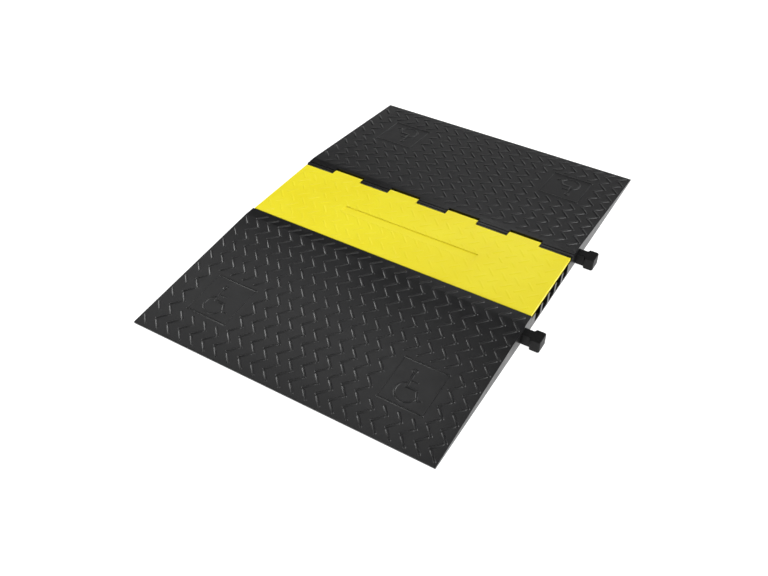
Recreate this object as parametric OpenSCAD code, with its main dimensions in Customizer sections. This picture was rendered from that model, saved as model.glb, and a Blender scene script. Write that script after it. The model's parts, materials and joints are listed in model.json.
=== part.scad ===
// Cable protector ramp: a hinged lid over a moulded base with cable channels,
// and a wheelchair ramp linked to each long side.
// X runs along the channels, Y across them, Z up. The origin is on the floor
// at the middle of the unit. "Near" is the -Y side, "left" the -X end.

/* [Unit] */
// Length of the unit along its channels
unit_l = 914.4; // [762:0.1:1219.2]
// Height of the closed unit above the floor
unit_h = 50; // [41:0.5:70]
// Gap between two mouldings that stand side by side
seam_gap = 0.5; // [0.3:0.1:1.5]

/* [Channels] */
// Number of cable channels
channel_n = 5; // [2:1:6]
// Width of each channel
channel_w = 36; // [24:0.5:50]
// Width of the dividers between the channels
divider_w = 12.3; // [8:0.1:20]
// Thickness of the floor under the channels
floor_t = 5; // [4:0.5:8]
// Radius along both bottom edges of each channel
channel_r = 5; // [2:0.5:8]
// Width of the solid wall between the near channel and the near ramp
near_wall_w = 29.9; // [28:0.1:50]

/* [Lid] */
// Thickness of the lid
lid_t = 10; // [7:0.5:13]
// Gap between the lid and the dividers it closes over
lid_seat_gap = 0.4; // [0.2:0.1:1]
// Distance that the lid stops short of each end of the base
lid_end_inset = 3; // [0:0.5:8]
// Gap between the lid's near edge and the near ramp
lid_edge_gap = 2.4; // [0.5:0.1:4]
// Length of the panel sunk into the lid
panel_l = 446; // [200:1:600]
// Width of the sunk panel
panel_w = 34; // [20:1:60]
// Depth of the sunk panel along its far edge
panel_depth = 4; // [1:0.1:5]
// Depth of the sunk panel along its near edge
panel_near_depth = 0.8; // [0.3:0.1:2]
// Distance of the sunk panel from the centre line, towards the near ramp
panel_offset = 5; // [0:1:40]

/* [Hinge] */
// Number of knuckles on the lid
lid_knuckle_n = 4; // [2:1:4]
// Length of each knuckle along the hinge
knuckle_l = 101.6; // [70:0.1:125]
// Outer radius of the knuckles
knuckle_r = 12; // [9:0.5:15]
// Gap between neighbouring knuckles
knuckle_gap = 1.5; // [0.8:0.1:3]
// Gap around the lid knuckles in their pockets
pocket_gap = 0.8; // [0.5:0.1:2]
// Width of the groove between the lid's panel and the base knuckles
throat_w = 5; // [3:0.5:8]
// Width of the seat for the lid between the far channel and the groove
far_seat_w = 19.4; // [12:0.1:40]
// Distance from the knuckles to the far ramp
hinge_back_gap = 3.5; // [2.5:0.1:6]
// Width of the crest on top of each base knuckle, in front of the hinge line
crest_w = 8; // [4:0.5:9]
// Width of the groove behind the crest
crest_groove_w = 3; // [2:0.5:5]
// Depth of the groove behind the crest
crest_groove_depth = 3.5; // [1:0.5:4]
// Diameter of the hinge rod
rod_d = 9.5; // [6:0.1:12]
// Radial clearance of the rod in the knuckles
rod_clearance = 0.05; // [0.02:0.01:0.1]
// Depth that each end plug reaches into the hinge bore
plug_l = 12; // [6:1:20]
// Radius of the end plug's flange
plug_flange_r = 7; // [7:0.5:8]
// Thickness of the end plug's flange
plug_flange_t = 2; // [1:0.5:4]

/* [Ramps] */
// Level width on the far ramp before its slope starts
shoulder_w = 13.5; // [8:0.5:60]
// Horizontal length of each slope
ramp_run = 492; // [300:1:720]
// Thickness of each ramp at its outer edge
toe_h = 5.5; // [3:0.5:12]
// Bevel along the top of the outer edge
toe_bevel = 1.5; // [0.5:0.5:2]

/* [End connectors] */
// Distance of each connector beyond the start of the slope
connector_out = 12; // [10:0.5:60]
// Width of a connector's neck
connector_neck_w = 28; // [16:1:32]
// Length of the neck on each side of the end face
connector_neck_l = 24; // [16:1:36]
// Length of the flare from neck to head
connector_flare_l = 4; // [2:0.5:8]
// Width of a connector's head
connector_head_w = 44; // [36:1:60]
// Length of a connector's head
connector_head_l = 27; // [20:1:36]
// Thickness of the ramp above a connector's socket, at the level part
connector_roof_t = 12.5; // [11:0.5:16]

/* [Side links] */
// Width of a side link's neck
link_neck_w = 20; // [12:1:30]
// Length of the neck on each side of the seam
link_neck_l = 8; // [5:0.5:10]
// Length of the flare from neck to head
link_flare_l = 2; // [1:0.5:4]
// Width of a side link's head
link_head_w = 36; // [26:1:50]
// Length of a side link's head
link_head_l = 12; // [12:0.5:14]
// Thickness of the base between the links' inserts and the hinge bore
link_cover_t = 3; // [2:0.5:5]

/* [Connector and link fits] */
// Clearance around connectors and links in their sockets
socket_clearance = 0.4; // [0.2:0.1:1]
// Height of connectors and links above the floor
connector_lift = 1; // [0:0.5:2]
// Corner bevel of the connector and link heads
head_bevel = 3; // [1:0.5:4]

/* [Fasteners] */
// Thread diameter of the screws
screw_d = 6; // [4:1:8]
// Diameter of the screw heads
screw_head_d = 10; // [7:0.5:13]
// Height of the screw heads
screw_head_h = 6; // [4:0.5:8]
// Diameter of the hexagon in the screw heads, across the corners
screw_socket_d = 5.8; // [3:0.1:7]
// Depth of the hexagon in the screw heads
screw_socket_h = 3; // [2:0.5:4]
// Radial clearance around the screw shanks and heads
screw_clearance = 0.4; // [0.2:0.1:0.6]
// Distance that the screw heads are sunk into connectors and links
screw_sink = 1; // [0:0.5:2]
// Distance from a screw's tip to the end of its insert
screw_tip_gap = 1; // [0.5:0.5:2]
// Outer diameter of the threaded inserts
insert_d = 10; // [9:0.5:12]
// Length of the threaded inserts
insert_l = 8; // [5:0.5:9]
// Radial play between screw and insert
thread_play = 0.05; // [0.02:0.01:0.1]

/* [Hidden] */

$fn = 64;
over = 1;           // overlap of a cut past the face it opens through

black_rubber = "#37383a";
yellow_rubber = "#dccb32";
steel = "#a9adb2";
brass = "#b79a52";
black_plastic = "#232426";

// Across the unit
channels_w = channel_n * channel_w + (channel_n - 1) * divider_w;
near_seam_y = -(channels_w / 2 + near_wall_w);
hinge_y = channels_w / 2 + far_seat_w + throat_w + knuckle_r;
far_seam_y = hinge_y + knuckle_r + hinge_back_gap;
plateau_y = far_seam_y + shoulder_w;
outer_y = plateau_y + ramp_run;

// Heights
lid_z = unit_h - lid_t;
seat_z = lid_z - lid_seat_gap;
hinge_z = unit_h - knuckle_r;
crest_back = 0.5;   // distance from the hinge line to the groove behind the crest

// Lid
lid_near_y = near_seam_y - seam_gap / 2 + lid_edge_gap;
lid_far_y = hinge_y - knuckle_r - throat_w;
lid_l = unit_l - 2 * lid_end_inset;
bore_r = rod_d / 2 + rod_clearance;
lid_knuckles_x = [for (i = [0 : lid_knuckle_n - 1]) (2 * i - lid_knuckle_n + 1) * knuckle_l];

// Connectors and links
connector_y = plateau_y + connector_out;
connector_half_l = connector_neck_l + connector_flare_l + connector_head_l;
connector_socket_z = unit_h - connector_roof_t;
connector_screw_x = unit_l / 2 - connector_half_l + connector_head_l / 2;
link_half_l = link_neck_l + link_flare_l + link_head_l;
link_socket_z = hinge_z - bore_r - link_cover_t - insert_l;
links_x = [-2 * knuckle_l, 0, 2 * knuckle_l];
link_screw_in = link_half_l - link_head_l / 2;
fastener_z = connector_lift + screw_sink;

// Height of a ramp's upper face at a distance from the centre line
function ramp_z(y) = y < plateau_y ? unit_h
    : unit_h - (unit_h - toe_h) * (y - plateau_y) / ramp_run;

// An outline in Y and Z, run along X
module along_x(length) {
    rotate([90, 0, 90])
        linear_extrude(length, center = true)
            children();
}

// Half of a T shape with its neck's root at the origin, along +X
function tee_points(neck_w, neck_l, flare_l, half_l, head_w, bevel) = [
    [0, neck_w / 2],
    [neck_l, neck_w / 2],
    [neck_l + flare_l, head_w / 2],
    [half_l - bevel, head_w / 2],
    [half_l, head_w / 2 - bevel],
    [half_l, bevel - head_w / 2],
    [half_l - bevel, -head_w / 2],
    [neck_l + flare_l, -head_w / 2],
    [neck_l, -neck_w / 2],
    [0, -neck_w / 2]
];

// A double T, half in each of the two mouldings that it joins
module double_tee(neck_w, neck_l, flare_l, half_l, head_w) {
    points = tee_points(neck_w, neck_l, flare_l, half_l, head_w, head_bevel);
    for (turn = [0, 180])
        rotate([0, 0, turn])
            polygon(points);
}

// The socket for one half of it, open through the face at the origin
module tee_socket(neck_w, neck_l, flare_l, half_l, head_w) {
    c = socket_clearance;
    polygon(tee_points(neck_w + 2 * c, neck_l - c, flare_l, half_l + c, head_w + 2 * c, head_bevel));
    translate([-over, -neck_w / 2 - c])
        square([2 * over, neck_w + 2 * c]);
}

module connector_socket() {
    translate([0, 0, -over])
        linear_extrude(connector_socket_z + over)
            tee_socket(connector_neck_w, connector_neck_l, connector_flare_l,
                connector_half_l, connector_head_w);
}

module link_socket() {
    translate([0, 0, -over])
        linear_extrude(link_socket_z + over)
            tee_socket(link_neck_w, link_neck_l, link_flare_l, link_half_l, link_head_w);
}

// Screw standing on its head, from the floor up to the top of its insert
module screw(socket_z) {
    top = socket_z + insert_l - screw_tip_gap;
    difference() {
        union() {
            translate([0, 0, fastener_z])
                cylinder(h = screw_head_h, d = screw_head_d);
            translate([0, 0, fastener_z])
                cylinder(h = top - fastener_z, d = screw_d);
        }
        translate([0, 0, fastener_z - over])
            cylinder(h = screw_socket_h + over, d = screw_socket_d, $fn = 6);
    }
}

module screw_hole() {
    translate([0, 0, -over])
        cylinder(h = unit_h, d = screw_d + 2 * screw_clearance);
    translate([0, 0, -over])
        cylinder(h = fastener_z + screw_head_h + over, d = screw_head_d + 2 * screw_clearance);
}

module insert(socket_z) {
    translate([0, 0, socket_z])
        difference() {
            cylinder(h = insert_l, d = insert_d);
            translate([0, 0, -over])
                cylinder(h = insert_l + 2 * over, d = screw_d + 2 * thread_play);
        }
}

module insert_hole(socket_z) {
    translate([0, 0, socket_z - over])
        cylinder(h = insert_l + over, d = insert_d);
}

// Puts a screw or an insert at each link of one side, on the base's half
module at_link_screws(side) {
    seam_y = side < 0 ? near_seam_y : far_seam_y;
    for (x = links_x)
        translate([x, seam_y - side * link_screw_in, 0])
            children();
}

// Puts a screw or an insert at each end connector
module at_connector_screws() {
    for (side = [-1, 1])
        translate([connector_screw_x, side * connector_y, 0])
            children();
}

// Outline of one channel, open at the top
module channel_outline() {
    translate([-channel_w / 2, floor_t + channel_r])
        square([channel_w, unit_h]);
    translate([-channel_w / 2 + channel_r, floor_t])
        square([channel_w - 2 * channel_r, channel_r + over]);
    for (side = [-1, 1])
        translate([side * (channel_w / 2 - channel_r), floor_t + channel_r])
            circle(channel_r);
}

// Moulded base: channel floor, dividers, side walls and its hinge knuckles
module channel_base() {
    near_y = near_seam_y + seam_gap / 2;
    far_y = far_seam_y - seam_gap / 2;
    pocket_r = knuckle_r + pocket_gap;
    color(black_rubber)
    difference() {
        along_x(unit_l)
            difference() {
                union() {
                    translate([near_y, 0])
                        square([far_y - near_y, seat_z]);
                    translate([hinge_y, hinge_z])
                        circle(knuckle_r);
                    translate([hinge_y, 0])
                        square([far_y - hinge_y, unit_h]);
                    translate([hinge_y - crest_w, hinge_z])
                        square([crest_w + over, knuckle_r]);
                }
                translate([hinge_y + crest_back, unit_h - crest_groove_depth])
                    square([crest_groove_w, crest_groove_depth + over]);
                for (i = [0 : channel_n - 1])
                    translate([(i - (channel_n - 1) / 2) * (channel_w + divider_w), 0])
                        channel_outline();
            }
        // pockets for the lid's knuckles, open towards the far ramp
        for (x = lid_knuckles_x)
            translate([x, 0, 0])
                along_x(knuckle_l + knuckle_gap)
                    union() {
                        translate([hinge_y, hinge_z])
                            circle(pocket_r);
                        translate([hinge_y, hinge_z - pocket_r])
                            square([far_y - hinge_y + over, pocket_r + knuckle_r + over]);
                        translate([hinge_y - pocket_r, hinge_z])
                            square([2 * pocket_r, knuckle_r + over]);
                    }
        // bore for the hinge rod, with a counterbore at each end for the plug
        translate([-unit_l / 2 - over, hinge_y, hinge_z])
            rotate([0, 90, 0])
                cylinder(h = unit_l + 2 * over, r = bore_r);
        for (end = [-1, 1])
            translate([end * unit_l / 2, hinge_y, hinge_z])
                rotate([0, 90, 0])
                    cylinder(h = 2 * plug_flange_t, r = plug_flange_r + rod_clearance, center = true);
        // sockets for the side links
        for (x = links_x) {
            translate([x, near_y, 0])
                rotate([0, 0, 90])
                    link_socket();
            translate([x, far_y, 0])
                rotate([0, 0, -90])
                    link_socket();
        }
        at_link_screws(-1)
            insert_hole(link_socket_z);
        at_link_screws(1)
            insert_hole(link_socket_z);
    }
}

// Lid: a plate with the sunk panel, and its hinge knuckles
module lid() {
    color(yellow_rubber)
    difference() {
        union() {
            translate([-lid_l / 2, lid_near_y, lid_z])
                cube([lid_l, lid_far_y - lid_near_y, lid_t]);
            for (x = lid_knuckles_x)
                translate([x, 0, 0])
                    along_x(knuckle_l - knuckle_gap)
                        union() {
                            translate([lid_far_y - over, lid_z])
                                square([hinge_y - lid_far_y + over, lid_t]);
                            translate([hinge_y, hinge_z])
                                circle(knuckle_r);
                        }
        }
        translate([-unit_l / 2, hinge_y, hinge_z])
            rotate([0, 90, 0])
                cylinder(h = unit_l, r = bore_r);
        // sunk panel, deeper towards its far edge, where a hand lifts the lid
        translate([0, -panel_offset, unit_h])
            along_x(panel_l)
                polygon([
                    [-panel_w / 2, over],
                    [-panel_w / 2, -panel_near_depth],
                    [panel_w / 2, -panel_depth],
                    [panel_w / 2, over]
                ]);
    }
}

// Rod through all the knuckles
module hinge_rod() {
    rod_l = unit_l - 2 * (plug_l + seam_gap);
    color(steel)
    translate([-rod_l / 2, hinge_y, hinge_z])
        rotate([0, 90, 0])
            cylinder(h = rod_l, d = rod_d);
}

// Plug that closes one end of the hinge bore, flush with the end face
module hinge_plug(end) {
    color(black_plastic)
    translate([end * unit_l / 2, hinge_y, hinge_z])
        rotate([0, -end * 90, 0]) {
            cylinder(h = plug_flange_t, r = plug_flange_r);
            cylinder(h = plug_l, d = rod_d);
        }
}

// Ramp moulding: level shoulder, slope, and the sockets on three sides
module ramp(side) {
    seam_y = side < 0 ? -near_seam_y : far_seam_y;
    inner_y = seam_y + seam_gap / 2;
    color(black_rubber)
    mirror([0, side < 0 ? 1 : 0, 0])
    difference() {
        along_x(unit_l)
            polygon([
                [inner_y, 0],
                [inner_y, unit_h],
                [plateau_y, unit_h],
                [outer_y - toe_bevel, ramp_z(outer_y - toe_bevel)],
                [outer_y, toe_h - toe_bevel],
                [outer_y, 0]
            ]);
        // end sockets
        for (turn = [0, 180])
            rotate([0, 0, turn])
                translate([-unit_l / 2, turn == 0 ? connector_y : -connector_y, 0])
                    connector_socket();
        translate([connector_screw_x, connector_y, 0])
            insert_hole(connector_socket_z);
        // side link sockets
        for (x = links_x)
            translate([x, inner_y, 0])
                rotate([0, 0, 90])
                    link_socket();
    }
}

module ramp_near() ramp(-1);
module ramp_far() ramp(1);

// Double T that joins this unit to the next one
module connector(side) {
    color(black_rubber)
    difference() {
        translate([unit_l / 2, side * connector_y, connector_lift])
            linear_extrude(connector_socket_z - seam_gap - connector_lift)
                double_tee(connector_neck_w, connector_neck_l, connector_flare_l,
                    connector_half_l, connector_head_w);
        translate([connector_screw_x, side * connector_y, 0])
            screw_hole();
    }
}

// Double T that joins a ramp to the base
module side_link(side, place) {
    seam_y = side < 0 ? near_seam_y : far_seam_y;
    x = links_x[place];
    color(black_plastic)
    difference() {
        translate([x, seam_y, connector_lift])
            linear_extrude(link_socket_z - seam_gap - connector_lift)
                rotate([0, 0, 90])
                    double_tee(link_neck_w, link_neck_l, link_flare_l, link_half_l, link_head_w);
        translate([x, seam_y - side * link_screw_in, 0])
            screw_hole();
    }
}

module link_screws(side) {
    color(steel)
    at_link_screws(side)
        screw(link_socket_z);
}

module link_inserts() {
    color(brass)
    for (side = [-1, 1])
        at_link_screws(side)
            insert(link_socket_z);
}

module connector_screws() {
    color(steel)
    at_connector_screws()
        screw(connector_socket_z);
}

module connector_inserts() {
    color(brass)
    at_connector_screws()
        insert(connector_socket_z);
}

channel_base();
lid();
hinge_rod();
hinge_plug(-1);  // hinge_plug_left
hinge_plug(1);  // hinge_plug_right
ramp_near();
ramp_far();
connector(-1);  // connector_near
connector(1);  // connector_far
side_link(-1, 0);  // link_near_left
side_link(-1, 1);  // link_near_middle
side_link(-1, 2);  // link_near_right
side_link(1, 0);  // link_far_left
side_link(1, 1);  // link_far_middle
side_link(1, 2);  // link_far_right
link_screws(-1);  // link_screws_near
link_screws(1);  // link_screws_far
link_inserts();
connector_screws();
connector_inserts();
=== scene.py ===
"""Cable protector ramp: tread, symbol plates, finishes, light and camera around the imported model."""

import json
import math

import bmesh
import bpy
from mathutils import Matrix, Vector


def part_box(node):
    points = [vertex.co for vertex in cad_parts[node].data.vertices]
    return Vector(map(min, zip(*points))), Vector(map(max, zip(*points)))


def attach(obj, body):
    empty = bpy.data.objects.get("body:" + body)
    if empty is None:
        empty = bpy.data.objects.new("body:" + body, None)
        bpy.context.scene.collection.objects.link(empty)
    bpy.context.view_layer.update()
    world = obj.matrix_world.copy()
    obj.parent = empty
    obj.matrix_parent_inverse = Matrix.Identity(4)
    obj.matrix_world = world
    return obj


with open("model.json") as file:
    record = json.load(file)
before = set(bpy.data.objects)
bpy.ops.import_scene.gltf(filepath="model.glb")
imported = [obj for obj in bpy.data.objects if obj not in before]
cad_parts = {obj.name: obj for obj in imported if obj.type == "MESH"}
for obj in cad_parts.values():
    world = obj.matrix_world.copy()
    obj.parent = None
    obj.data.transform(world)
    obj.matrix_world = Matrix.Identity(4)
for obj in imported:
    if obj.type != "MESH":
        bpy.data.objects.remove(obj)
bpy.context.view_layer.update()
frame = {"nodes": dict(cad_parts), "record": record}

MM = 0.001

# ---------------------------------------------------------------------------
# Places read from the frame
# ---------------------------------------------------------------------------

HALF_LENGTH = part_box("ramp_near")[1].x
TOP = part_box("ramp_near")[1].z
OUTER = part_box("ramp_far")[1].y
LID_HALF_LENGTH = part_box("lid")[1].x

SAME_HEIGHT = 0.01 * MM
TOE_WIDTH = 5 * MM              # the bevelled strip along a ramp's outer edge is narrower than this


def slope_ends(node):
    """Distance from the centre line of the top of a ramp's slope, and distance and height of its foot."""
    corners = [(abs(v.co.y), v.co.z) for v in frame["nodes"][node].data.vertices]
    level = max(y for y, z in corners if z > TOP - SAME_HEIGHT)
    toe = [corner for corner in corners if corner[0] > OUTER - TOE_WIDTH]
    foot, foot_z = max(toe, key=lambda corner: corner[1])
    return level, foot, foot_z


PLATEAU, FOOT_Y, FOOT_Z = slope_ends("ramp_far")
SLOPE = (TOP - FOOT_Z) / (FOOT_Y - PLATEAU)


def ramp_height(y):
    """Height of a ramp's upper face at a distance from the centre line."""
    return TOP if y < PLATEAU else TOP - (y - PLATEAU) * SLOPE


# ---------------------------------------------------------------------------
# Materials
# ---------------------------------------------------------------------------

def linear(code):
    """An sRGB hex colour as linear RGBA."""
    srgb = [int(code[i:i + 2], 16) / 255 for i in (0, 2, 4)]
    return tuple(c / 12.92 if c <= 0.04045 else ((c + 0.055) / 1.055) ** 2.4 for c in srgb) + (1.0,)


def add(tree, kind, links=None, **settings):
    """Adds a node. settings are its own values, links its inputs by name or number: a socket or a value."""
    node = tree.nodes.new(kind)
    for key, value in settings.items():
        setattr(node, key, value)
    for key, value in (links or {}).items():
        if isinstance(value, bpy.types.NodeSocket):
            tree.links.new(value, node.inputs[key])
        else:
            node.inputs[key].default_value = value
    return node


def finish_material(name, build):
    """A material whose tree build(tree, shader) fills in."""
    material = bpy.data.materials.new(name)
    material.use_nodes = True
    tree = material.node_tree
    tree.nodes.clear()
    shader = add(tree, "ShaderNodeBsdfPrincipled")
    add(tree, "ShaderNodeOutputMaterial", {"Surface": shader.outputs["BSDF"]})
    build(tree, shader)
    return material


# the colour sockets of a Mix node: its two inputs and its result
MIX_A, MIX_B, MIXED = 6, 7, 2


def moulded_skin(name, colour, pooled, dusty, roughness, grain_mm, ior=1.5):
    """A polymer from a blasted mould: an even satin skin with fine grain and a little dust.

    The mould's blasting leaves pits of about 0.1 mm. grain_mm draws them coarser, so that they show.
    """
    def build(tree, shader):
        place = add(tree, "ShaderNodeTexCoord").outputs["Object"]
        layers = {}
        for layer, lump_mm, detail, fineness in (
            ("pooling", 140, 3, 0.5),       # colour a little deeper where the melt pooled
            ("dust", 45, 5, 0.65),
            ("rubbing", 30, 4, 0.5),        # gloss that varies with wear
            ("grain", grain_mm, 2, 0.5),
            ("flow", 60, 1, 0.5),           # the slight waviness of a thick casting
        ):
            layers[layer] = add(tree, "ShaderNodeTexNoise", {
                "Vector": place, "Scale": 1 / (lump_mm * MM), "Detail": detail, "Roughness": fineness,
            }).outputs["Fac"]
        for layer, low, high, to_low, to_high in (
            ("pooling", 0.3, 0.7, 0.0, 1.0),
            ("dust", 0.52, 0.8, 0.0, 0.35),
            ("rubbing", 0.3, 0.7, roughness - 0.05, roughness + 0.05),
        ):
            layers[layer] = add(tree, "ShaderNodeMapRange", {
                "Value": layers[layer], "From Min": low, "From Max": high,
                "To Min": to_low, "To Max": to_high,
            }).outputs["Result"]
        body = add(tree, "ShaderNodeMix", {
            0: layers["pooling"], MIX_A: linear(colour), MIX_B: linear(pooled),
        }, data_type="RGBA").outputs[MIXED]
        dusted = add(tree, "ShaderNodeMix", {
            0: layers["dust"], MIX_A: body, MIX_B: linear(dusty),
        }, data_type="RGBA").outputs[MIXED]
        grain = add(tree, "ShaderNodeBump", {
            "Strength": 0.35, "Distance": 0.15 * MM, "Height": layers["grain"],
        }).outputs["Normal"]
        skin = add(tree, "ShaderNodeBump", {
            "Strength": 0.5, "Distance": 0.4 * MM, "Height": layers["flow"], "Normal": grain,
        }).outputs["Normal"]
        tree.links.new(dusted, shader.inputs["Base Color"])
        tree.links.new(layers["rubbing"], shader.inputs["Roughness"])
        tree.links.new(skin, shader.inputs["Normal"])
        shader.inputs["IOR"].default_value = ior
    return finish_material(name, build)


# Carbon-filled polyurethane: near black, satin, with a faint grey bloom.
black_polyurethane = moulded_skin("black_polyurethane", "141415", "111112", "1a1a1b", 0.33, 1.2)
# Pigmented polyurethane: the safety yellow of the lid, a little deeper where the pigment pooled.
yellow_polyurethane = moulded_skin("yellow_polyurethane", "ecdf2b", "e8d822", "eee33e", 0.36, 1.2)
# A harder grade of polyurethane: the blacker, duller end connectors.
hard_polyurethane = moulded_skin("hard_polyurethane", "0a0a0b", "080809", "101011", 0.48, 0.8, 1.3)
# Glass-filled nylon: the harder, duller plastic of links and plugs.
glass_filled_nylon = moulded_skin("glass_filled_nylon", "161718", "131415", "1e1f20", 0.55, 0.6)


def drawn_metal(name, colour, dull, roughness, line_mm):
    """Bare metal with drawing or turning lines along X and a duller bloom in patches.

    The real lines are about 0.02 mm apart. line_mm draws them coarser, so that they show.
    """
    def build(tree, shader):
        place = add(tree, "ShaderNodeTexCoord").outputs["Object"]
        along = add(tree, "ShaderNodeMapping", {
            "Vector": place, "Scale": (0.02, 1.0, 1.0),
        }).outputs["Vector"]
        lines = add(tree, "ShaderNodeTexNoise", {
            "Vector": along, "Scale": 1 / (line_mm * MM), "Detail": 3.0,
        }).outputs["Fac"]
        patches = add(tree, "ShaderNodeTexNoise", {
            "Vector": place, "Scale": 1 / (12 * MM), "Detail": 4, "Roughness": 0.5,
        }).outputs["Fac"]
        bloom = add(tree, "ShaderNodeMapRange", {
            "Value": patches, "From Min": 0.4, "From Max": 0.7,
        }).outputs["Result"]
        face = add(tree, "ShaderNodeMix", {
            0: bloom, MIX_A: linear(colour), MIX_B: linear(dull),
        }, data_type="RGBA").outputs[MIXED]
        gloss = add(tree, "ShaderNodeMapRange", {
            "Value": lines, "From Min": 0.3, "From Max": 0.7,
            "To Min": roughness - 0.08, "To Max": roughness + 0.1,
        }).outputs["Result"]
        relief = add(tree, "ShaderNodeBump", {
            "Strength": 0.2, "Distance": 0.02 * MM, "Height": lines,
        }).outputs["Normal"]
        tree.links.new(face, shader.inputs["Base Color"])
        tree.links.new(gloss, shader.inputs["Roughness"])
        tree.links.new(relief, shader.inputs["Normal"])
        shader.inputs["Metallic"].default_value = 1.0
    return finish_material(name, build)


# Cold-drawn steel bar: bright, with drawing lines along its length.
drawn_steel = drawn_metal("drawn_steel", "b9bcc0", "9da0a4", 0.3, 0.3)
# Zinc-plated screws: pale grey with a milky bloom.
zinc_plate = drawn_metal("zinc_plate", "c3c6c9", "a7aaad", 0.38, 0.25)
# Turned brass of the threaded inserts.
turned_brass = drawn_metal("turned_brass", "c9a55a", "a98742", 0.32, 0.2)

MATERIAL_OF_SLOT = {
    "black_rubber": black_polyurethane,
    "yellow_rubber": yellow_polyurethane,
    "black_plastic": glass_filled_nylon,
    "rod_steel": drawn_steel,
    "screw_steel": zinc_plate,
    "insert_brass": turned_brass,
}


# ---------------------------------------------------------------------------
# The CAD nodes: finishes, and the small radii that a mould gives their edges
# ---------------------------------------------------------------------------

EDGE_RADIUS_MM = {
    "channel_base": 0.8,
    "lid": 1.6,
    "ramp_near": 0.8,
    "ramp_far": 0.8,
    "connector_near": 1.8,
    "connector_far": 1.8,
}


def round_edges(piece, radius, segments=3):
    """Joins the faces of a solid and rounds its sharp edges."""
    weld = piece.modifiers.new("joined_faces", "WELD")
    weld.merge_threshold = 0.002 * MM
    bevel = piece.modifiers.new("edge_radius", "BEVEL")
    bevel.width = radius
    bevel.segments = segments
    bevel.limit_method = "ANGLE"
    bevel.angle_limit = math.radians(35)
    bevel.use_clamp_overlap = True
    bevel.harden_normals = True


for row in frame["record"]["subparts"]:
    node = frame["nodes"][row["node"]]
    node.data.materials.clear()
    is_connector = row["node"] in ("connector_near", "connector_far")
    node.data.materials.append(hard_polyurethane if is_connector else MATERIAL_OF_SLOT[row["material_slot"]])
    if row["node"] in EDGE_RADIUS_MM:
        round_edges(node, EDGE_RADIUS_MM[row["node"]] * MM)


# ---------------------------------------------------------------------------
# Raised detail: bars and strokes with sloping, rounded sides
# ---------------------------------------------------------------------------

SUNK = 0.3 * MM                 # depth that raised detail reaches under the surface it stands on


def stadium(half_length, half_width, corner_points=4):
    """Outline of a bar with round ends, along X."""
    outline = []
    for end, start in ((1, -90), (-1, 90)):
        for i in range(corner_points + 1):
            angle = math.radians(start + 180 * i / corner_points)
            outline.append(Vector((end * (half_length - half_width) + half_width * math.cos(angle),
                                   half_width * math.sin(angle))))
    return outline


def raise_outline(mesh, rings, to_surface):
    """Closes a stack of outlines, given as (list of points, height), into one solid on a surface."""
    loops = [[mesh.verts.new(to_surface(point, height)) for point in points] for points, height in rings]
    for low, high in zip(loops, loops[1:]):
        for i in range(len(low)):
            j = (i + 1) % len(low)
            mesh.faces.new((low[i], low[j], high[j], high[i]))
    mesh.faces.new(list(reversed(loops[0])))
    mesh.faces.new(loops[-1])


# the sides of a bar and of a round stroke: how far in, as a share of the half width, and how high, as a
# share of the height
BAR_PROFILE = [(0.0, 0.0), (0.34, 0.54), (0.66, 0.89), (0.88, 1.0)]
STROKE_PROFILE = [(0.0, 0.0), (0.3, 0.55), (0.5, 0.86), (0.72, 1.0)]


def bar_rings(length, width, height):
    """Outlines of a bar from under the surface to its crown: sloping sides, rounded over at the top."""
    half_length, half_width = length / 2, width / 2
    steps = [(0.0, -SUNK)] + [(inset, rise * height) for inset, rise in BAR_PROFILE]
    return [(stadium(half_length - inset * half_width, half_width * (1 - inset)), rise)
            for inset, rise in steps]


def add_bar(mesh, centre, angle, length, width, height, surface):
    """Adds one bar to a mesh, at a place in plan, turned by an angle, on a surface height(x, y)."""
    turn = Matrix.Rotation(angle, 2)

    def to_surface(point, rise):
        spot = centre + turn @ point
        return spot.x, spot.y, surface(spot.x, spot.y) + rise

    raise_outline(mesh, bar_rings(length, width, height), to_surface)


def new_piece(name, mesh, body, slot, smooth_angle=40):
    """Makes a piece of a mesh, riding on a body, with the finish of a slot."""
    bmesh.ops.recalc_face_normals(mesh, faces=mesh.faces)
    data = bpy.data.meshes.new(name)
    mesh.to_mesh(data)
    mesh.free()
    piece = bpy.data.objects.new(name, data)
    bpy.context.scene.collection.objects.link(piece)
    data.materials.append(MATERIAL_OF_SLOT[slot])
    for polygon in data.polygons:
        polygon.use_smooth = True
    data.set_sharp_from_angle(angle=math.radians(smooth_angle))
    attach(piece, body)
    return piece


# ---------------------------------------------------------------------------
# Tread: columns of bars that lean left and right in turn, down each surface
# ---------------------------------------------------------------------------

COLUMNS = 23
COLUMN_PITCH = 2 * HALF_LENGTH / COLUMNS
COLUMN_X = [(i - (COLUMNS - 1) / 2) * COLUMN_PITCH for i in range(COLUMNS)]
BAR_LENGTH = 38.5 * MM
BAR_WIDTH = 7.8 * MM
BAR_HEIGHT = 1.7 * MM
LID_BAR_HEIGHT = 0.6 * MM
BAR_ANGLE = math.radians(46.5)
END_MARGIN = 2 * MM             # least distance from a bar to the end of its surface

# rows of the ramps' tread, as distances from the centre line
RAMP_ROW_PITCH = 28.1 * MM
NEAR_FIRST_ROW = 171 * MM
FAR_FIRST_ROW = 198.5 * MM
FOOT_MARGIN = 18 * MM
RAMP_SHIFTS = (-5.5 * MM, 0.5 * MM)     # along X, of the rows that lean right and left

# rows of the lid's tread, staggered by half a column
LID_ROW_PITCH = 30.35 * MM
LID_FIRST_ROW = -98.5 * MM
LID_LAST_ROW = 120 * MM
LID_EDGE_ROW = -125.5 * MM      # a row of short bars along the near edge
LID_EDGE_BAR = 28 * MM
LID_SHIFTS = (-COLUMN_PITCH / 4, COLUMN_PITCH / 4)
LID_END_MARGIN = 4 * MM

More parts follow.
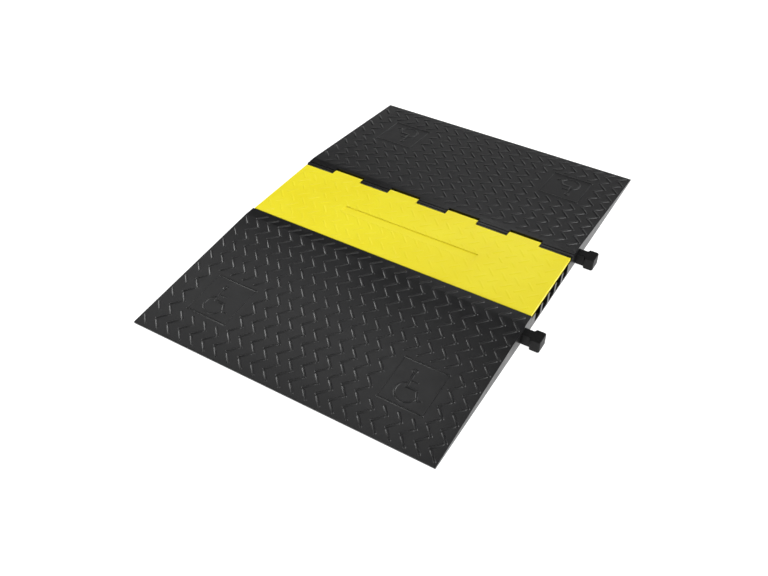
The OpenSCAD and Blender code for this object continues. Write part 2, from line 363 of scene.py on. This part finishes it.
# the panel sunk into the lid, and the short bars just behind it
PANEL_HALF_LENGTH = 223 * MM
PANEL_NEAR, PANEL_FAR = -22 * MM, 12 * MM
PANEL_END_MARGIN = 8 * MM
PANEL_MARGIN = 10 * MM
BEHIND_PANEL = 14 * MM          # width of the strip that has them
BEHIND_PANEL_BAR = 26 * MM

# the symbol plates' middles, as distances from the unit's two centre lines, and their size
PLATE_X = 299 * MM
PLATE_Y = 494 * MM
PLATE_WIDTH = 127 * MM
PLATE_LENGTH = 140 * MM
PLATE_MARGIN = 14 * MM


def near_surface(x, y):
    """Height of the near ramp at a place in plan."""
    return ramp_height(-y)


def far_surface(x, y):
    """Height of the far ramp at a place in plan."""
    return ramp_height(y)


def lid_surface(x, y):
    """Height of the closed lid, which is level all over."""
    return TOP


def meets(spot, low, high, reach):
    """True if a bar at a place comes within reach of a rectangle."""
    return low.x - reach < spot.x < high.x + reach and low.y - reach < spot.y < high.y + reach


def add_tread(name, body, slot, rows, surface, blanks, bar_height, half_length):
    """Rows are (y, leaning, shift along x, bar length); blanks are rectangles that no bar comes near."""
    mesh = bmesh.new()
    for y, leaning, shift, length in rows:
        reach_x = length / 2 * math.cos(BAR_ANGLE) + END_MARGIN
        for x in COLUMN_X:
            spot = Vector((x + shift, y))
            if abs(spot.x) + reach_x < half_length and not any(meets(spot, *blank) for blank in blanks):
                add_bar(mesh, spot, leaning * BAR_ANGLE, length, BAR_WIDTH, bar_height, surface)
    return new_piece(name, mesh, body, slot)


def plate_blanks(side):
    """The two symbol plates of a ramp, kept clear of the tread."""
    half = Vector((PLATE_WIDTH / 2, PLATE_LENGTH / 2))
    centres = [Vector((x, side * PLATE_Y)) for x in (-PLATE_X, PLATE_X)]
    return [(centre - half, centre + half, PLATE_MARGIN) for centre in centres]


def rows_between(first, last, pitch, leaning, shifts):
    """Rows from first to last in steps of pitch, leaning one way and the other in turn."""
    rows = []
    y = first
    while y <= last:
        rows.append((y, leaning, shifts[0] if leaning > 0 else shifts[1], BAR_LENGTH))
        y += pitch
        leaning = -leaning
    return rows


def lid_tread_rows():
    """The lid's rows: short bars behind the sunk panel and along the near edge."""
    rows = []
    full_rows = rows_between(LID_FIRST_ROW, LID_LAST_ROW, LID_ROW_PITCH, -1, LID_SHIFTS)
    for y, leaning, shift, length in full_rows:
        behind_panel = PANEL_FAR < y < PANEL_FAR + BEHIND_PANEL
        rows.append((y, leaning, shift, BEHIND_PANEL_BAR if behind_panel else length))
    rows.append((LID_EDGE_ROW, 1, LID_SHIFTS[0], LID_EDGE_BAR))
    return rows


near_rows = [(-y, leaning, shift, length) for y, leaning, shift, length in
             rows_between(NEAR_FIRST_ROW, OUTER - FOOT_MARGIN, RAMP_ROW_PITCH, 1, RAMP_SHIFTS)]
far_rows = rows_between(FAR_FIRST_ROW, OUTER - FOOT_MARGIN, RAMP_ROW_PITCH, 1, RAMP_SHIFTS)
panel_blank = (Vector((-PANEL_HALF_LENGTH - PANEL_END_MARGIN, PANEL_NEAR)),
               Vector((PANEL_HALF_LENGTH + PANEL_END_MARGIN, PANEL_FAR)), PANEL_MARGIN)

add_tread("tread_near", "base", "black_rubber", near_rows, near_surface, plate_blanks(-1), BAR_HEIGHT,
          HALF_LENGTH)
add_tread("tread_far", "base", "black_rubber", far_rows, far_surface, plate_blanks(1), BAR_HEIGHT,
          HALF_LENGTH)
add_tread("tread_lid", "lid", "yellow_rubber", lid_tread_rows(), lid_surface, [panel_blank], LID_BAR_HEIGHT,
          LID_HALF_LENGTH - LID_END_MARGIN)


# ---------------------------------------------------------------------------
# Symbol plates: a thin rim round a plain field, with a wheelchair user in low relief
# ---------------------------------------------------------------------------

RIM_WIDTH = 7.0 * MM            # along the plate's top and foot
RIM_HEIGHT = 1.9 * MM
SIDE_RIM_WIDTH = 4.0 * MM       # along its sides, where the mould leaves it almost flush
SIDE_RIM_HEIGHT = 0.4 * MM
STROKE_HEIGHT = 1.3 * MM


def add_stroke(mesh, start, end, width, height, surface, plate):
    """A straight raised stroke between two points of a plate."""
    tail, tip = plate(start), plate(end)
    along = tip - tail
    angle = math.atan2(along.y, along.x)
    add_bar(mesh, (tail + tip) / 2, angle, along.length + width, width, height, surface)


def add_arc(mesh, centre, radius, start, end, width, height, surface, plate):
    """A raised arc stroke; angles in degrees, in the plate's own directions."""
    steps = 24
    levels = [(0.5, -SUNK)] + [((1 - inset) / 2, rise * height) for inset, rise in STROKE_PROFILE]
    angles = [math.radians(start + (end - start) * i / steps) for i in range(steps + 1)]
    spokes = [Vector((math.cos(angle), math.sin(angle))) for angle in angles]
    rings = []
    for share, rise in levels:
        outer = [spoke * (radius + share * width) for spoke in spokes]
        inner = [spoke * (radius - share * width) for spoke in reversed(spokes)]
        rings.append(([plate(centre + point) for point in outer + inner], rise))
    raise_outline(mesh, rings, lambda point, rise: (point.x, point.y, surface(point.x, point.y) + rise))


# the wheelchair user, in millimetres from the middle of the plate: start, end and width of each stroke
STROKES = {
    "back": ((-17, 27), (-14, -10), 9),
    "arm": ((-15, 11), (6, 11), 6),
    "seat": ((-14, -11), (15, -11), 9),
    "shin": ((15, -11), (30, -38), 7),
    "foot": ((30, -38), (40, -34), 6),
}
# centre, radius, first and last angle, and width of each round stroke
ARCS = {
    "head": ((-18, 40), 4.4, 0, 359, 8),
    "wheel": ((-5, -25), 31, 118, 352, 6),
}


def symbol_plate(name, body, centre, turn, surface):
    """A plate in the middle of a ramp, turned so that it reads from the ramp's foot."""
    mesh = bmesh.new()

    def plate(point):
        return centre + point * turn

    half_width, half_length = PLATE_WIDTH / 2, PLATE_LENGTH / 2
    corners = [Vector((-half_width, -half_length)), Vector((half_width, -half_length)),
               Vector((half_width, half_length)), Vector((-half_width, half_length))]
    for i in range(4):
        width, height = ((RIM_WIDTH, RIM_HEIGHT), (SIDE_RIM_WIDTH, SIDE_RIM_HEIGHT))[i % 2]
        add_stroke(mesh, corners[i], corners[(i + 1) % 4], width, height, surface, plate)
    for start, end, width in STROKES.values():
        add_stroke(mesh, Vector(start) * MM, Vector(end) * MM, width * MM, STROKE_HEIGHT, surface, plate)
    for middle, radius, first, last, width in ARCS.values():
        add_arc(mesh, Vector(middle) * MM, radius * MM, first, last, width * MM, STROKE_HEIGHT, surface,
                plate)
    return new_piece(name, mesh, body, "black_rubber")


for side, turn, surface, ramp in ((-1, 1, near_surface, "near"), (1, -1, far_surface, "far")):
    for x, end in ((-PLATE_X, "left"), (PLATE_X, "right")):
        symbol_plate(f"symbol_plate_{ramp}_{end}", "base", Vector((x, side * PLATE_Y)), turn, surface)


# ---------------------------------------------------------------------------
# Stage, light and camera
# ---------------------------------------------------------------------------

def opal_sheet(tree, shader):
    """Opal sheet of a light table, lit from below: white, with no shadow on it."""
    place = add(tree, "ShaderNodeTexCoord").outputs["Object"]
    patches = add(tree, "ShaderNodeTexNoise", {
        "Vector": place, "Scale": 1 / (900 * MM), "Detail": 2, "Roughness": 0.5,
    }).outputs["Fac"]
    sheet = add(tree, "ShaderNodeMix", {
        0: patches, MIX_A: linear("8e8e8e"), MIX_B: linear("8a8a8a"),
    }, data_type="RGBA").outputs[MIXED]
    tree.links.new(sheet, shader.inputs["Base Color"])
    shader.inputs["Roughness"].default_value = 0.9
    shader.inputs["Emission Color"].default_value = linear("ffffff")
    shader.inputs["Emission Strength"].default_value = 1.0


STAGE_RADIUS = 24.0
STAGE_WALL = 4.2
STAGE_LEVEL = -0.3 * MM
STAGE_SIDES = 96


def round_stage(name):
    """A round floor with a low wall at its rim, so that no edge of it shows in a low view."""
    mesh = bmesh.new()
    angles = [math.tau * i / STAGE_SIDES for i in range(STAGE_SIDES)]
    rim = [(STAGE_RADIUS * math.cos(angle), STAGE_RADIUS * math.sin(angle)) for angle in angles]
    foot = [mesh.verts.new((x, y, STAGE_LEVEL)) for x, y in rim]
    top = [mesh.verts.new((x, y, STAGE_WALL)) for x, y in rim]
    mesh.faces.new(foot)
    for i in range(STAGE_SIDES):
        j = (i + 1) % STAGE_SIDES
        mesh.faces.new((foot[i], top[i], top[j], foot[j]))
    data = bpy.data.meshes.new(name)
    mesh.to_mesh(data)
    mesh.free()
    stage = bpy.data.objects.new(name, data)
    bpy.context.scene.collection.objects.link(stage)
    data.materials.append(finish_material("white_light_table", opal_sheet))


round_stage("studio_floor")

world = bpy.data.worlds.new("studio")
bpy.context.scene.world = world
world.use_nodes = True
world.node_tree.nodes["Background"].inputs["Color"].default_value = linear("ffffff")
world.node_tree.nodes["Background"].inputs["Strength"].default_value = 0.02


def put_light(name, light, direction):
    """Adds a light that shines along a direction."""
    lamp = bpy.data.objects.new(name, light)
    bpy.context.scene.collection.objects.link(lamp)
    lamp.rotation_mode = "QUATERNION"
    lamp.rotation_quaternion = Vector(direction).to_track_quat("-Z", "Y")
    return lamp


def soft_box(name, stand, aim, width, depth, radiance):
    """A soft box that lights the object and isn't seen itself."""
    light = bpy.data.lights.new(name, "AREA")
    light.shape = "RECTANGLE"
    light.size = width
    light.size_y = depth
    light.energy = radiance * math.pi * width * depth
    lamp = put_light(name, light, Vector(aim) - Vector(stand))
    lamp.location = stand
    lamp.visible_camera = False


# a broad low key from the right and behind: it lights the connectors' end and shades the recess
key = bpy.data.lights.new("key_light", "SUN")
key.energy = 2.75
key.angle = math.radians(60)
put_light("key_light", key, (-0.78, -0.34, -0.52))

# name, where it stands, what it points at, width, depth and radiance
SOFT_BOXES = [
    # low on the left: streaks along the bars that lean left
    ("left_box", (-4.1, -0.1, 1.9), (0, -0.3, 0), 1.2, 1.8, 7.4),
    # over the unit: what the flats of the near ramp mirror, darker towards the lid
    ("near_panel_left", (-0.97, 0.04, 1.0), (-0.97, 0.04, 0), 0.95, 0.68, 0.90),
    ("near_panel_right", (-0.15, -0.01, 1.0), (-0.15, -0.01, 0), 0.75, 0.59, 1.00),
    # beyond the hinge: the sheen on the lid's right half
    ("lid_panel", (-0.42, 1.87, 1.6), (-0.42, 1.87, 0), 1.0, 0.5, 2.0),
    # overhead: faint streaks along the bars that lean right
    ("top_panel", (0.70, -0.85, 2.2), (0.70, -0.85, 0), 2.0, 1.3, 0.75),
    # off the right end: evens out the lid
    ("right_panel", (1.15, 0.55, 0.95), (0.35, 0, 0.05), 0.5, 0.5, 4.5),
    # in front: the rims along the symbol plates
    ("rim_panel", (-1.0, -2.1, 1.75), (-0.2, -0.5, 0), 2.3, 0.5, 5.2),
    # far behind: what the far ramp mirrors
    ("back_panel", (-1.3, 4.2, 1.95), (-1.0, 0, 0), 3.6, 1.1, 0.30),
]
for name, stand, aim, width, depth, radiance in SOFT_BOXES:
    soft_box(name, stand, aim, width, depth, radiance)

CAMERA_AZIMUTH = math.radians(30.56)
CAMERA_ELEVATION = math.radians(41.72)
CAMERA_ROLL = math.radians(0.62)
CAMERA_DISTANCE = 2.4046
CAMERA_TARGET = Vector((0.0398, -0.2029, 0.0))

camera_data = bpy.data.cameras.new("camera")
camera_data.sensor_width = 36
camera_data.lens = 40.19
camera = bpy.data.objects.new("camera", camera_data)
bpy.context.scene.collection.objects.link(camera)
back = Vector((math.sin(CAMERA_AZIMUTH) * math.cos(CAMERA_ELEVATION),
               -math.cos(CAMERA_AZIMUTH) * math.cos(CAMERA_ELEVATION),
               math.sin(CAMERA_ELEVATION)))
camera.location = CAMERA_TARGET + back * CAMERA_DISTANCE
camera.rotation_mode = "QUATERNION"
upright = (-back).to_track_quat("-Z", "Y")
camera.rotation_quaternion = upright @ Matrix.Rotation(CAMERA_ROLL, 3, "Z").to_quaternion()
bpy.context.scene.camera = camera
bpy.context.scene.view_settings.view_transform = "Standard"
